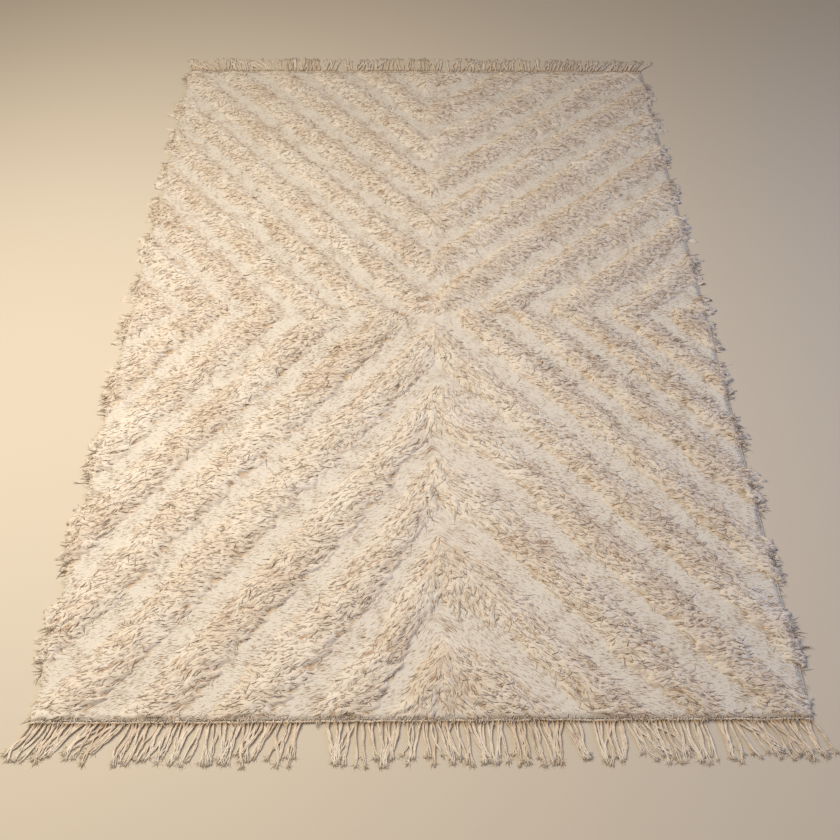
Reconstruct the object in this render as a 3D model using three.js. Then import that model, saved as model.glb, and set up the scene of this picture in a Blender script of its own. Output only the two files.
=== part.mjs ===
// Shag pile rug in cream cotton: pile bands parted by low flat-woven channels that run in chevrons
// about the middle, with a knotted warp fringe at each end.
// Millimetres, +Z up. The origin is the middle of the underside, +X is to the right-hand
// selvedge and +Y is to the far end.
import * as THREE from 'three';

// Cloth
const WIDTH = 1600; // selvedge to selvedge
const LENGTH = 2300; // first weft to last, without the fringes
const GROUND = 7; // height of the flat weave and its short nap in a channel
const CREST = 26; // height of the lying pile in the middle of a band
const EDGE = 5; // height of the cloth's first and last weft
const LUMP = 4; // how far a clump of tufts stands above or below the crest
const HEADING = 14; // flat weave left bare of pile at each end
const PILE_FRONT = 12; // run in which the pile rises from the heading
const COLUMN_PITCH = 28; // spacing of the surface's columns across the rug

// Channels. Each quadrant has parallel channels at one slope; `first` is where its channel 0 meets
// the middle line of the pattern, `pitch` the step to the next and `growth` the step's increase.
const CENTRE = { x: 40, y: -15 };
const QUADRANTS = {
  farLeft: { slope: 1.15, first: 92, pitch: 182, growth: 1.5 },
  farRight: { slope: 0.9, first: 105, pitch: 173, growth: 0 },
  nearLeft: { slope: 1.3, first: -10, pitch: 239, growth: 2.5 },
  nearRight: { slope: 1.15, first: 2, pitch: 190, growth: 4 },
};
const MOST_CHANNELS = 8; // more than any quadrant holds on each side of its channel 0
const BEND = 60; // on each side of the level middle line, the run in which the channels bend to meet
const APEX_BEND = 130; // the same on each side of the upright middle line
const CHANNEL_FLOOR = 17; // half the width of a channel's level floor
const SHOULDER = 22; // run in which the pile rises beside the floor
// Stations across one pitch, as parts of it: both edges of the floor, both shoulders, the crest
const STATIONS = [-0.31, -0.13, 0.13, 0.31, 0.5];
const LEAST_STEP = 12; // least distance from a station to the middle line and to the pile's ends

// Locks of pile that hang over the selvedges at the ends of the bands
const LOCK_WIDTH = 13; // root of a lock, and the gap to the next one
const LOCK_REACH = { least: 14, most: 40 };
const LOCK_DRIFT = { near: -9, far: 5 }; // how far a tip strays along the edge
const LOCK_WAIST = { width: 11, low: 2, high: 19 }; // section halfway out
const LOCK_TIP = { low: 2, high: 9 };

// Fringes. Each one hangs on a knotted heading cord that lies just outside the cloth.
const PARTING = 0.3; // between the cloth and the cord
const CORD = { depth: 7, height: 5 };
const STRAND = {
  length: { least: 79, most: 93 },
  width: 5,
  height: 3.6,
  tipWidth: 6.5, // frayed end
  tipHeight: 2.4,
  leastGap: 1.2,
  gather: 0.45, // how far the tips of a clump draw together
  scatter: 9, // degrees that a clump strays from the lean of its place
};
const CLUMP = { least: 2, most: 6 }; // strands in a clump
// Sections of a strand, by their share of the way to its tip
const STRAND_SECTIONS = [
  { share: 0.3, width: STRAND.width, height: STRAND.height },
  { share: 0.7, width: STRAND.width, height: STRAND.height },
  { share: 1, width: STRAND.tipWidth, height: STRAND.tipHeight },
];
const FRINGES = [
  {
    name: 'fringe_near',
    toward: -1,
    strands: 100,
    // Lean of the strands in degrees, positive to the right, at places along the edge
    lean: [
      { x: -800, degrees: -38 },
      { x: -600, degrees: -35 },
      { x: -350, degrees: -9 },
      { x: 0, degrees: 0 },
      { x: 400, degrees: 16 },
      { x: 600, degrees: 30 },
      { x: 800, degrees: 32 },
    ],
    bare: [
      { from: -246, to: -204 },
      { from: 318, to: 342 },
      { from: 572, to: 600 },
    ],
  },
  {
    name: 'fringe_far',
    toward: 1,
    strands: 90,
    lean: [
      { x: -800, degrees: -28 },
      { x: -400, degrees: -12 },
      { x: 0, degrees: 0 },
      { x: 450, degrees: 10 },
      { x: 800, degrees: 30 },
    ],
    bare: [
      { from: -330, to: -300 },
      { from: 90, to: 115 },
    ],
  },
];

const WOOL = new THREE.MeshStandardMaterial({ color: 0xe2d3b8, roughness: 0.95, metalness: 0 });
const WARP = new THREE.MeshStandardMaterial({ color: 0xd9c8a8, roughness: 0.9, metalness: 0 });

// Repeatable random numbers from 0 to 1
function seeded(seed) {
  let state = seed;
  return () => {
    state = (state + 0x6d2b79f5) | 0;
    let mixed = Math.imul(state ^ (state >>> 15), state | 1);
    mixed ^= mixed + Math.imul(mixed ^ (mixed >>> 7), mixed | 61);
    return ((mixed ^ (mixed >>> 14)) >>> 0) / 4294967296;
  };
}

const between = (random, low, high) => low + (high - low) * random();

// A closed surface that is filled vertex by vertex
class Shell {
  constructor() {
    this.points = [];
    this.triangles = [];
  }

  point(x, y, z) {
    this.points.push(x, y, z);
    return this.points.length / 3 - 1;
  }

  triangle(a, b, c) {
    this.triangles.push(a, b, c);
  }

  quad(a, b, c, d) {
    this.triangle(a, b, c);
    this.triangle(a, c, d);
  }

  // Fills the strip between two rows whose entries have a rising key: equal keys are joined
  zip(right, left) {
    let i = 0;
    let j = 0;
    while (i < right.length - 1 || j < left.length - 1) {
      const leftDone = j === left.length - 1;
      const rightNext = i < right.length - 1 && (leftDone || right[i + 1].key <= left[j + 1].key);
      if (rightNext) {
        this.triangle(right[i].id, right[i + 1].id, left[j].id);
        i += 1;
      } else {
        this.triangle(right[i].id, left[j + 1].id, left[j].id);
        j += 1;
      }
    }
  }

  mesh(name, material) {
    const geometry = new THREE.BufferGeometry();
    geometry.setAttribute('position', new THREE.Float32BufferAttribute(this.points, 3));
    geometry.setIndex(this.triangles);
    geometry.computeVertexNormals();
    const mesh = new THREE.Mesh(geometry, material);
    mesh.name = name;
    return mesh;
  }
}

// Number of the channel at a distance from the middle line, a fraction in between two channels
function channelNumber(quadrant, across, along) {
  const offset = along - quadrant.slope * across - quadrant.first;
  const root = Math.sqrt(quadrant.pitch ** 2 + 4 * quadrant.growth * offset);
  return (2 * offset) / (quadrant.pitch + root);
}

// Distance from the middle line at which a quadrant's channel lies
function channelPlace(quadrant, across, number) {
  return quadrant.slope * across + quadrant.first + quadrant.pitch * number + quadrant.growth * number ** 2;
}

// The far and the near quadrant at a place across the rug. Beside the upright middle line their
// channels bend to the mean of left and right, so the two sides meet in one apex.
function quadrantsAt(x) {
  const side = x < CENTRE.x ? 'Left' : 'Right';
  const own = (1 + Math.min(Math.abs(x - CENTRE.x) / APEX_BEND, 1)) / 2;
  const other = side === 'Left' ? 'Right' : 'Left';
  return ['far', 'near'].map((half) => {
    const [from, to] = [QUADRANTS[half + other], QUADRANTS[half + side]];
    const columns = Object.keys(to);
    return Object.fromEntries(columns.map((key) => [key, THREE.MathUtils.lerp(from[key], to[key], own)]));
  });
}

// Distance to the middle of the nearest channel. The place in the pitch is taken as a turn, and
// beside the level middle line the far and the near turn are averaged, so the channels meet there.
function channelDistance(x, y) {
  const [far, near] = quadrantsAt(x);
  const across = Math.abs(x - CENTRE.x);
  const farShare = THREE.MathUtils.smoothstep(y - CENTRE.y, -BEND, BEND);
  let cosine = 0;
  let sine = 0;
  let spacing = 0;
  for (const [quadrant, along, share] of [
    [far, y - CENTRE.y, farShare],
    [near, CENTRE.y - y, 1 - farShare],
  ]) {
    const turn = 2 * Math.PI * channelNumber(quadrant, across, along);
    cosine += share * Math.cos(turn);
    sine += share * Math.sin(turn);
    spacing += (share * quadrant.pitch) / Math.hypot(1, quadrant.slope);
  }
  return (Math.abs(Math.atan2(sine, cosine)) / (2 * Math.PI)) * spacing;
}

// How much of the pile's height stands at a place: 0 in a channel, 1 in a band
function pileShare(x, y) {
  return THREE.MathUtils.smoothstep(channelDistance(x, y), CHANNEL_FLOOR, CHANNEL_FLOOR + SHOULDER);
}

// Places along one column, near to far. A place's key rises with it and is the same on the next
// column for the same station of the same channel.
function columnPlaces(x) {
  const across = Math.abs(x - CENTRE.x);
  const [far, near] = quadrantsAt(x);
  const pileEnd = LENGTH / 2 - HEADING - PILE_FRONT;
  const keyBase = 100;
  const places = [
    { y: -LENGTH / 2, key: -3 * keyBase },
    { y: HEADING - LENGTH / 2, key: -2 * keyBase },
    { y: CENTRE.y, key: 0 },
    { y: LENGTH / 2 - HEADING, key: 2 * keyBase },
    { y: LENGTH / 2, key: 3 * keyBase },
  ];
  for (const [quadrant, toward] of [[near, -1], [far, 1]]) {
    const room = pileEnd - toward * CENTRE.y;
    const endKey = keyBase + channelNumber(quadrant, across, room);
    places.push({ y: CENTRE.y + toward * room, key: toward * endKey });
    for (let channel = -MOST_CHANNELS; channel <= MOST_CHANNELS; channel += 1) {
      for (const station of STATIONS) {
        const along = channelPlace(quadrant, across, channel + station);
        if (along > LEAST_STEP && along < room - LEAST_STEP) {
          places.push({ y: CENTRE.y + toward * along, key: toward * (keyBase + channel + station) });
        }
      }
    }
  }
  return places.sort((a, b) => a.y - b.y);
}

// Splits a selvedge's places finely enough for the roots of its locks
function splitForLocks(places) {
  const split = [places[0]];
  for (let k = 1; k < places.length; k += 1) {
    const [from, to] = [places[k - 1], places[k]];
    const parts = Math.max(1, Math.round((to.y - from.y) / LOCK_WIDTH));
    for (let part = 1; part <= parts; part += 1) {
      const share = part / parts;
      split.push({
        y: from.y + (to.y - from.y) * share,
        key: from.key + (to.key - from.key) * share,
      });
    }
  }
  return split;
}

function surfaceHeight(x, y, random) {
  const fromEnd = LENGTH / 2 - Math.abs(y);
  if (fromEnd < HEADING) return EDGE;
  const share = fromEnd > HEADING ? pileShare(x, y) : 0;
  return GROUND + share * (CREST - GROUND + between(random, -LUMP, LUMP));
}

// Columns from the left selvedge to the right, one of them on the pattern's middle line
function columnPositions() {
  const positions = [];
  const addSpan = (from, to) => {
    const steps = Math.round((to - from) / COLUMN_PITCH);
    for (let step = 0; step < steps; step += 1) positions.push(from + ((to - from) * step) / steps);
  };
  addSpan(-WIDTH / 2, CENTRE.x);
  addSpan(CENTRE.x, WIDTH / 2);
  positions.push(WIDTH / 2);
  return positions;
}

// A side wall of the cloth, with a lock on every other segment that is as high as the pile
function addSelvedge(shell, outward, x, top, bottom, random) {
  const wall = (a, b, c, d) => (outward > 0 ? shell.quad(a, b, c, d) : shell.quad(d, c, b, a));
  let previousIsLock = true;
  for (let k = 1; k < top.length; k += 1) {
    const middle = (top[k - 1].y + top[k].y) / 2;
    const isLock = !previousIsLock && Math.min(top[k - 1].z, top[k].z) > (GROUND + CREST) / 2;
    const root = [bottom[k - 1].id, bottom[k].id, top[k].id, top[k - 1].id];
    previousIsLock = isLock;
    if (!isLock) {
      wall(...root);
      continue;
    }
    const reach = between(random, LOCK_REACH.least, LOCK_REACH.most);
    const drift = between(random, LOCK_DRIFT.near, LOCK_DRIFT.far);
    const waist = [
      [-LOCK_WAIST.width / 2, LOCK_WAIST.low],
      [LOCK_WAIST.width / 2, LOCK_WAIST.low],
      [LOCK_WAIST.width / 2, LOCK_WAIST.high],
      [-LOCK_WAIST.width / 2, LOCK_WAIST.high],
    ].map(([along, z]) => shell.point(x + (outward * reach) / 2, middle + along + drift / 2, z));
    const tip = shell.point(x + outward * reach, middle + drift, between(random, LOCK_TIP.low, LOCK_TIP.high));
    for (let side = 0; side < 4; side += 1) {
      const next = (side + 1) % 4;
      wall(root[side], root[next], waist[next], waist[side]);
      if (outward > 0) shell.triangle(waist[side], waist[next], tip);
      else shell.triangle(waist[next], waist[side], tip);
    }
  }
}

// The cloth and its pile: one solid with a level underside
function rugBody() {
  const shell = new Shell();
  const random = seeded(11);
  const positions = columnPositions();
  const tops = [];
  const bottoms = [];
  positions.forEach((x, column) => {
    const isSelvedge = column === 0 || column === positions.length - 1;
    const places = isSelvedge ? splitForLocks(columnPlaces(x)) : columnPlaces(x);
    tops.push(places.map(({ y, key }) => {
      const z = surfaceHeight(x, y, random);
      return { y, z, key, id: shell.point(x, y, z) };
    }));
    const floor = isSelvedge ? places : [places[0], places[places.length - 1]];
    bottoms.push(floor.map(({ y, key }) => ({ key, id: shell.point(x, y, 0) })));
  });
  const last = positions.length - 1;
  for (let column = 0; column < last; column += 1) {
    const [topLeft, topRight] = [tops[column], tops[column + 1]];
    const [bottomLeft, bottomRight] = [bottoms[column], bottoms[column + 1]];
    shell.zip(topRight, topLeft);
    shell.zip(bottomLeft, bottomRight);
    // Near and far wall
    shell.quad(bottomLeft[0].id, bottomRight[0].id, topRight[0].id, topLeft[0].id);
    shell.quad(bottomRight.at(-1).id, bottomLeft.at(-1).id, topLeft.at(-1).id, topRight.at(-1).id);
  }
  addSelvedge(shell, -1, -WIDTH / 2, tops[0], bottoms[0], random);
  addSelvedge(shell, 1, WIDTH / 2, tops[last], bottoms[last], random);
  return shell.mesh('rug_cloth', WOOL);
}

// Reads a table of leans at a place along the edge
function leanAt(table, x) {
  const after = table.findIndex((row) => row.x >= x);
  if (after <= 0) return table[0].degrees;
  const [from, to] = [table[after - 1], table[after]];
  return THREE.MathUtils.mapLinear(x, from.x, to.x, from.degrees, to.degrees);
}

// Roots and tips of the strands of one fringe, left to right, gathered in clumps
function strandPlan(fringe, random) {
  const pitch = WIDTH / fringe.strands;
  const roots = [];
  for (let k = 0; k < fringe.strands; k += 1) {
    const x = -WIDTH / 2 + pitch * (k + 0.5);
    if (!fringe.bare.some(({ from, to }) => x > from && x < to)) roots.push(x);
  }
  const strands = [];
  let leftmost = -WIDTH;
  while (roots.length > 0) {
    const clump = roots.splice(0, Math.round(between(random, CLUMP.least, CLUMP.most)));
    const middle = (clump[0] + clump.at(-1)) / 2;
    const strayed = between(random, -STRAND.scatter, STRAND.scatter);
    const lean = THREE.MathUtils.degToRad(leanAt(fringe.lean, middle) + strayed);
    for (const x of clump) {
      const reach = between(random, STRAND.length.least, STRAND.length.most);
      const width = 1 / Math.cos(lean);
      const wanted = x + (middle - x) * STRAND.gather + Math.sin(lean) * reach;
      const tip = Math.max(wanted, leftmost + STRAND.leastGap + STRAND.tipWidth * width);
      leftmost = tip;
      strands.push({ x, tip, reach: Math.cos(lean) * reach, width });
    }
  }
  return strands;
}

// One fringe: a heading cord with the strands growing out of its outer face
function fringeMesh(fringe, seed) {
  const shell = new Shell();
  const random = seeded(seed);
  const { toward } = fringe;
  const back = toward * (LENGTH / 2 + PARTING);
  const front = back + toward * CORD.depth;
  const end = WIDTH / 2;
  const strands = strandPlan(fringe, random);
  const quad = (a, b, c, d) => (toward < 0 ? shell.quad(a, b, c, d) : shell.quad(d, c, b, a));

  const cuts = [-end, ...strands.flatMap(({ x }) => [x - STRAND.width / 2, x + STRAND.width / 2]), end];
  const low = cuts.map((x) => ({ key: x, id: shell.point(x, front, 0) }));
  const high = cuts.map((x) => ({ key: x, id: shell.point(x, front, CORD.height) }));
  const [backLow, backHigh] = [0, CORD.height].map((z) =>
    [-end, end].map((x) => ({ key: x, id: shell.point(x, back, z) })),
  );
  if (toward < 0) {
    shell.zip(high, backHigh);
    shell.zip(backLow, low);
  } else {
    shell.zip(backHigh, high);
    shell.zip(low, backLow);
  }
  quad(backLow[1].id, backLow[0].id, backHigh[0].id, backHigh[1].id);
  quad(backLow[0].id, low[0].id, high[0].id, backHigh[0].id);
  quad(low.at(-1).id, backLow[1].id, backHigh[1].id, high.at(-1).id);

  // Even segments of the front are bare cord, odd ones are the roots of strands
  for (let k = 1; k < cuts.length; k += 1) {
    const root = [low[k - 1].id, low[k].id, high[k].id, high[k - 1].id];
    if (k % 2 === 1) {
      quad(...root);
      continue;
    }
    const strand = strands[k / 2 - 1];
    let ring = root;
    for (const { share, width, height } of STRAND_SECTIONS) {
      const x = THREE.MathUtils.lerp(strand.x, strand.tip, share);
      const y = front + toward * strand.reach * share;
      const half = (width * strand.width) / 2;
      const next = [
        shell.point(x - half, y, 0),
        shell.point(x + half, y, 0),
        shell.point(x + half, y, height),
        shell.point(x - half, y, height),
      ];
      for (let side = 0; side < 4; side += 1) {
        const after = (side + 1) % 4;
        quad(ring[side], ring[after], next[after], next[side]);
      }
      ring = next;
    }
    quad(...ring);
  }
  return shell.mesh(fringe.name, WARP);
}

const rug = new THREE.Group();
rug.add(rugBody());
FRINGES.forEach((fringe, k) => rug.add(fringeMesh(fringe, 21 + k)));

export default rug;
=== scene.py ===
"""Looks of a cream cotton shag rug: lying pile in bands, low flat-woven channels between them in
chevrons about the middle, overcast selvedges and a knotted warp fringe at both ends.

Metres, +Z up, +X to the right-hand selvedge, +Y to the far end. The origin is the middle of the
underside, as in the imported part."""

import math

import bpy
import numpy as np
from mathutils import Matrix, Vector


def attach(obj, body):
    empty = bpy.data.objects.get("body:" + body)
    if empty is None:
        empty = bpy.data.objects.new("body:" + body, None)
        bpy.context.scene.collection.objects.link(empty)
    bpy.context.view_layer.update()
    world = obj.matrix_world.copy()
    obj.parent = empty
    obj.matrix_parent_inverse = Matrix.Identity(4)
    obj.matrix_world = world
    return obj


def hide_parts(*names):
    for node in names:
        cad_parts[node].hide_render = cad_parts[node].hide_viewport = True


bl_info = {
    "name": "Cotton shag rug",
    "version": (1, 0, 0),
    "blender": (4, 5, 0),
    "location": "3D View > Sidebar > Rug",
    "description": "Cream cotton shag rug with flat-woven channels and knotted warp fringes",
    "category": "Add Mesh",
}

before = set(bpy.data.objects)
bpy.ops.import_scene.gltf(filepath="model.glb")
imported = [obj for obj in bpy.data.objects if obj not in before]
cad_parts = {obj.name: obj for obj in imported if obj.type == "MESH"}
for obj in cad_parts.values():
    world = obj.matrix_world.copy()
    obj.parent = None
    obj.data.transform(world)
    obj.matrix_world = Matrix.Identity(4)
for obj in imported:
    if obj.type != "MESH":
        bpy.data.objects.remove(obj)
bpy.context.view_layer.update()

MM = 0.001
WIDTH, LENGTH = 1.600, 2.300  # of the cloth, between the selvedges and between the end wefts

# Channels, from the same table as the solid: slope, place of channel 0, pitch, growth of the pitch
CENTRE = (0.040, -0.015)
QUADRANTS = {
    ("far", -1): (1.15, 0.092, 0.182, 0.0015),
    ("far", 1): (0.90, 0.105, 0.173, 0.0),
    ("near", -1): (1.30, -0.010, 0.239, 0.0025),
    ("near", 1): (1.15, 0.002, 0.190, 0.0040),
}
BEND, APEX_BEND = 0.060, 0.130  # how far channels take to turn at the middle line and at an apex
CHANNEL_FLOOR, SHOULDER = 0.017, 0.022  # half a channel floor's width, and the slope's beside it
HEADING = 0.005  # flat weave left bare at each end
OVERHANG = 0.042  # the pile's grid reaches this far past a selvedge
ROW_PITCH = 0.026  # from one row of knots to the next, along the pile
RIM_STRANDS, END_STRANDS = 1200, 1000  # extra strands along each selvedge, and on both ends in all
STRAND_REST = 0.0012  # lowest middle of a strand, so that it lies on the floor and not in it

# Fringes: pairs of a place along the edge in mm and the lean there in degrees, positive to the
# right, and the gaps without warp, from and to in mm
NEAR_LEAN = [(-800, -30), (-720, -36), (-650, -40), (-600, -30), (-500, -24), (-450, -16),
             (-400, 0), (-340, -12), (-250, -13), (-190, 2), (-140, -14), (-110, 12), (-60, -9),
             (0, 0), (60, 22), (140, 4), (220, 18), (310, 0), (400, 12), (460, 30), (550, 12),
             (620, 30), (750, 28), (800, 30)]
NEAR_BARE = [(-246, -204), (318, 342), (572, 600)]
FAR_LEAN = [(-800, -28), (-600, -20), (-400, -12), (-150, 4), (0, -4), (250, 8), (450, 10),
            (650, 26), (800, 30)]
FAR_BARE = [(-285, -250), (90, 115)]

# The photo's camera: its place, its turn about X, Y and Z in degrees, and its lens in mm
CAMERA_PLACE, CAMERA_TURN, LENS = (-0.0289, -1.7557, 1.8523), (36.492, -0.508, -0.503), 38.70


def linear(code):
    """An sRGB hex value as linear red, green, blue and alpha."""
    parts = [int(code[i:i + 2], 16) / 255 for i in (1, 3, 5)]
    return (*[c / 12.92 if c <= 0.04045 else ((c + 0.055) / 1.055) ** 2.4 for c in parts], 1.0)


def smoothstep(value, low, high):
    """0 below low, 1 above high and a soft step between them."""
    share = np.clip((value - low) / (high - low), 0, 1)
    return share * share * (3 - 2 * share)


def mix(a, b, share):
    return a + (b - a) * share


def noise(x, y, pitch, seed):
    """Smooth random field from -1 to 1 whose swells are about one pitch wide."""
    grid = np.random.default_rng(seed).uniform(-1, 1, (97, 97))
    u, v = x / pitch + 48.3, y / pitch + 48.7
    i, j = np.floor(u).astype(int), np.floor(v).astype(int)
    s, t = smoothstep(u - i, 0, 1), smoothstep(v - j, 0, 1)
    i, j = i % 96, j % 96
    low = mix(grid[i, j], grid[i + 1, j], s)
    high = mix(grid[i, j + 1], grid[i + 1, j + 1], s)
    return mix(low, high, t)


def channel_number(quadrant, across, along):
    """Which channel a point is in: whole in the middle of one, and halfway in a band's middle."""
    slope, first, pitch, growth = quadrant
    offset = along - slope * across - first
    return 2 * offset / (pitch + np.sqrt(np.maximum(pitch ** 2 + 4 * growth * offset, 1e-6)))


def channel_distance(x, y):
    """Distance to the middle of the nearest channel, as in the solid's pattern."""
    across = np.abs(x - CENTRE[0])
    right = x >= CENTRE[0]
    own = (1 + np.minimum(across / APEX_BEND, 1)) / 2  # at an apex both sides count alike
    far_share = smoothstep(y - CENTRE[1], -BEND, BEND)
    beyond = y - CENTRE[1]
    cosine, sine, spacing = 0, 0, 0  # the two halves are blended as turns, so that channels join up
    for half, along, share in (("far", beyond, far_share), ("near", -beyond, 1 - far_share)):
        sides = [np.reshape(QUADRANTS[half, side], (4, *[1] * x.ndim)) for side in (-1, 1)]
        ours = np.where(right, sides[1], sides[0])
        theirs = np.where(right, sides[0], sides[1])
        quadrant = mix(theirs, ours, own)
        turn = 2 * np.pi * channel_number(quadrant, across, along)
        cosine = cosine + share * np.cos(turn)
        sine = sine + share * np.sin(turn)
        spacing = spacing + share * quadrant[2] / np.hypot(1, quadrant[0])
    return np.abs(np.arctan2(sine, cosine)) / (2 * np.pi) * spacing


def pile_share(x, y, shoulder=SHOULDER):
    """0 on a channel's floor, 1 in a band, with the wander of a hand-knotted edge."""
    wx = x + 0.006 * noise(x, y, 0.07, 11) + 0.003 * noise(x, y, 0.025, 12)
    wy = y + 0.006 * noise(x, y, 0.07, 13) + 0.003 * noise(x, y, 0.025, 14)
    share = smoothstep(channel_distance(wx, wy), CHANNEL_FLOOR, CHANNEL_FLOOR + shoulder)
    return share * smoothstep(LENGTH / 2 - np.abs(y), HEADING - 0.004, HEADING + 0.006)


def patches(x, y):
    """Where the undyed cotton is creamy, 0, and where it is tan, 1."""
    return np.clip(0.5 + 0.3 * noise(x, y, 0.03, 61) + 0.25 * noise(x, y, 0.10, 62), 0, 1)


def combing(x, y):
    """Heading of the pile, in radians: outward from the middle, and fanned near the lower apexes."""
    outward = (x - CENTRE[0]) / (np.abs(x - CENTRE[0]) + 0.035)
    near = smoothstep(-y, -0.10, 0.35)
    fan = near * np.exp(-((x - CENTRE[0]) / 0.17) ** 2)
    right_low = smoothstep(x, 0.05, 0.4) * smoothstep(-y, 0.1, 0.7)
    down = mix(0.10, 0.95, fan) + 0.30 * right_low
    swirl = 0.38 * noise(x, y, 0.16, 21) + 0.35 * noise(x, y, 0.05, 22)
    return np.arctan2(-down, outward) + swirl


def following(slope_x, slope_y, cell):
    """The smooth field on a grid whose slopes come nearest to the given ones. They are mirrored
    both ways first, so that the Fourier sum has no jump at the grid's edges."""
    both_x = np.block([[slope_x, -slope_x[:, ::-1]], [slope_x[::-1], -slope_x[::-1, ::-1]]])
    both_y = np.block([[slope_y, slope_y[:, ::-1]], [-slope_y[::-1], -slope_y[::-1, ::-1]]])
    wave_x = 2j * np.pi * np.fft.fftfreq(both_x.shape[1], cell)[None]
    wave_y = 2j * np.pi * np.fft.fftfreq(both_x.shape[0], cell)[:, None]
    power = wave_x ** 2 + wave_y ** 2
    power[0, 0] = 1
    spectrum = (wave_x * np.fft.fft2(both_x) + wave_y * np.fft.fft2(both_y)) / power
    return np.fft.ifft2(spectrum).real[:slope_x.shape[0], :slope_x.shape[1]]


def grid_quads(rows, columns):
    """The quads of a grid of points, by row and column."""
    index = np.arange(rows * columns).reshape(rows, columns)
    return np.stack([index[:-1, :-1], index[:-1, 1:], index[1:, 1:], index[1:, :-1]], axis=2)


def mesh_object(name, points, faces, attributes, material, piece=True):
    """One mesh from arrays. faces is a pair of lists of index arrays, the rounded and the flat ones:
    a rounded face next to a flat one keeps its own slope there."""
    mesh = bpy.data.meshes.new(name)
    points = np.maximum(points, [-np.inf, -np.inf, 0.0])  # the floor holds everything up
    flat = np.concatenate([np.full(len(f), kind) for kind, group in enumerate(faces) for f in group])
    faces = [f for group in faces for f in group]
    mesh.vertices.add(len(points))
    mesh.vertices.foreach_set("co", np.ascontiguousarray(points, dtype=np.float32).ravel())
    sizes = np.concatenate([np.full(len(f), f.shape[1]) for f in faces])
    corners = np.concatenate([f.ravel() for f in faces])
    mesh.loops.add(len(corners))
    mesh.loops.foreach_set("vertex_index", corners.astype(np.int32))
    mesh.polygons.add(len(sizes))
    starts = np.concatenate([[0], np.cumsum(sizes)[:-1]])
    mesh.polygons.foreach_set("loop_start", starts.astype(np.int32))
    mesh.polygons.foreach_set("loop_total", sizes.astype(np.int32))
    mesh.update(calc_edges=True)
    mesh.shade_smooth()
    mesh.attributes.new("sharp_face", "BOOLEAN", "FACE").data.foreach_set("value", flat.astype(bool))
    for key, values in attributes.items():
        form, field = ("FLOAT_VECTOR", "vector") if values.ndim == 2 else ("FLOAT", "value")
        layer = mesh.attributes.new(key, form, "POINT")
        layer.data.foreach_set(field, np.ascontiguousarray(values, dtype=np.float32).ravel())
    mesh.materials.append(material)
    built = bpy.data.objects.new(name, mesh)
    bpy.context.scene.collection.objects.link(built)
    if piece:
        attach(built, "root")
    return built


def shells(centre, side, half_width, half_height, corners=3, pointed=True, tint=None, seed=0):
    """Closed tapering tubes, one for each row of centre, with attributes for their fibres.
    side points to the right of the way that a tube runs. A pointed one ends in a single tip.
    The underside of a three-sided one is flat, and its flanks are coloured darker than its ridge, as
    painted shade."""
    count, stations, _ = centre.shape
    tangent = np.gradient(centre, axis=1)
    tangent /= np.linalg.norm(tangent, axis=2, keepdims=True)
    up = np.cross(side, tangent)
    up /= np.linalg.norm(up, axis=2, keepdims=True)
    turn = np.pi / 2 + 2 * np.pi * np.arange(corners) / corners
    rings = (centre[:, :, None]
             + np.cos(turn)[None, None, :, None] * (half_width[..., None] * side)[:, :, None]
             + np.sin(turn)[None, None, :, None] * (half_height[..., None] * up)[:, :, None])
    full = stations - 1 if pointed else stations
    points = rings[:, :full].reshape(count, full * corners, 3)
    share = np.repeat(np.linspace(0, 1, stations)[:full], corners)
    place = np.tile(np.arange(corners), full)
    if pointed:
        points = np.concatenate([points, centre[:, -1:]], axis=1)
        share, place = np.append(share, 1), np.append(place, 0)
    per = points.shape[1]
    ring = np.repeat(np.arange(full - 1), corners)
    corner = np.tile(np.arange(corners), full - 1)
    after = (corner + 1) % corners
    quads = np.stack([ring * corners + corner, (ring + 1) * corners + corner,
                      (ring + 1) * corners + after, ring * corners + after], axis=1)
    last = (full - 1) * corners
    below = np.arange(corners) == 1 if corners == 3 else np.zeros(corners, bool)
    soft, flat = [quads[~below[corner]]], [quads[below[corner]], np.arange(corners)[None]]
    if pointed:
        tip = np.stack([last + np.arange(corners), np.full(corners, per - 1),
                        last + (np.arange(corners) + 1) % corners], axis=1)
        soft, flat = soft + [tip[~below]], flat + [tip[below]]
    else:
        flat.append(last + np.arange(corners)[None, ::-1])
    base = (np.arange(count) * per)[:, None, None]
    faces = [[(base + f[None]).reshape(-1, f.shape[1]) for f in group if len(f)]
             for group in (soft, flat)]
    random = np.random.default_rng(seed + 900)
    if tint is None:
        tint = random.uniform(0, 1, count)
    reach = np.linalg.norm(np.diff(centre, axis=1), axis=2).sum(axis=1)
    belly = half_width.max(axis=1)
    across = np.cos(turn)[place % corners] * (share < 1)
    own_depth = random.uniform(0, 9, (count, 1))  # each tube has its own slice of the fibre noise
    fibre = np.stack([across[None] * belly[:, None] * 1.2, share[None] * reach[:, None],
                      np.repeat(own_depth, per, axis=1)], axis=2)
    # painted shade: the flanks of a three-sided strand get less of the along ramp, so the root colour
    # darkens them
    painted_shade = np.where((place > 0) & (corners == 3), 0.2, 1.0)  # a strand's flanks are in shade
    attributes = {"tint": np.repeat(tint, per), "along": np.tile(share * painted_shade, count),
                  "fibre": fibre.reshape(-1, 3)}
    return points.reshape(-1, 3), faces, attributes


def joined(parts):
    """Several shells() results as one."""
    shift, faces = 0, [[], []]
    for points, own, _ in parts:
        for group, added in zip(faces, own):
            group += [f + shift for f in added]
        shift += len(points)
    attributes = {key: np.concatenate([p[2][key] for p in parts]) for key in parts[0][2]}
    return np.concatenate([p[0] for p in parts]), faces, attributes


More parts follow.
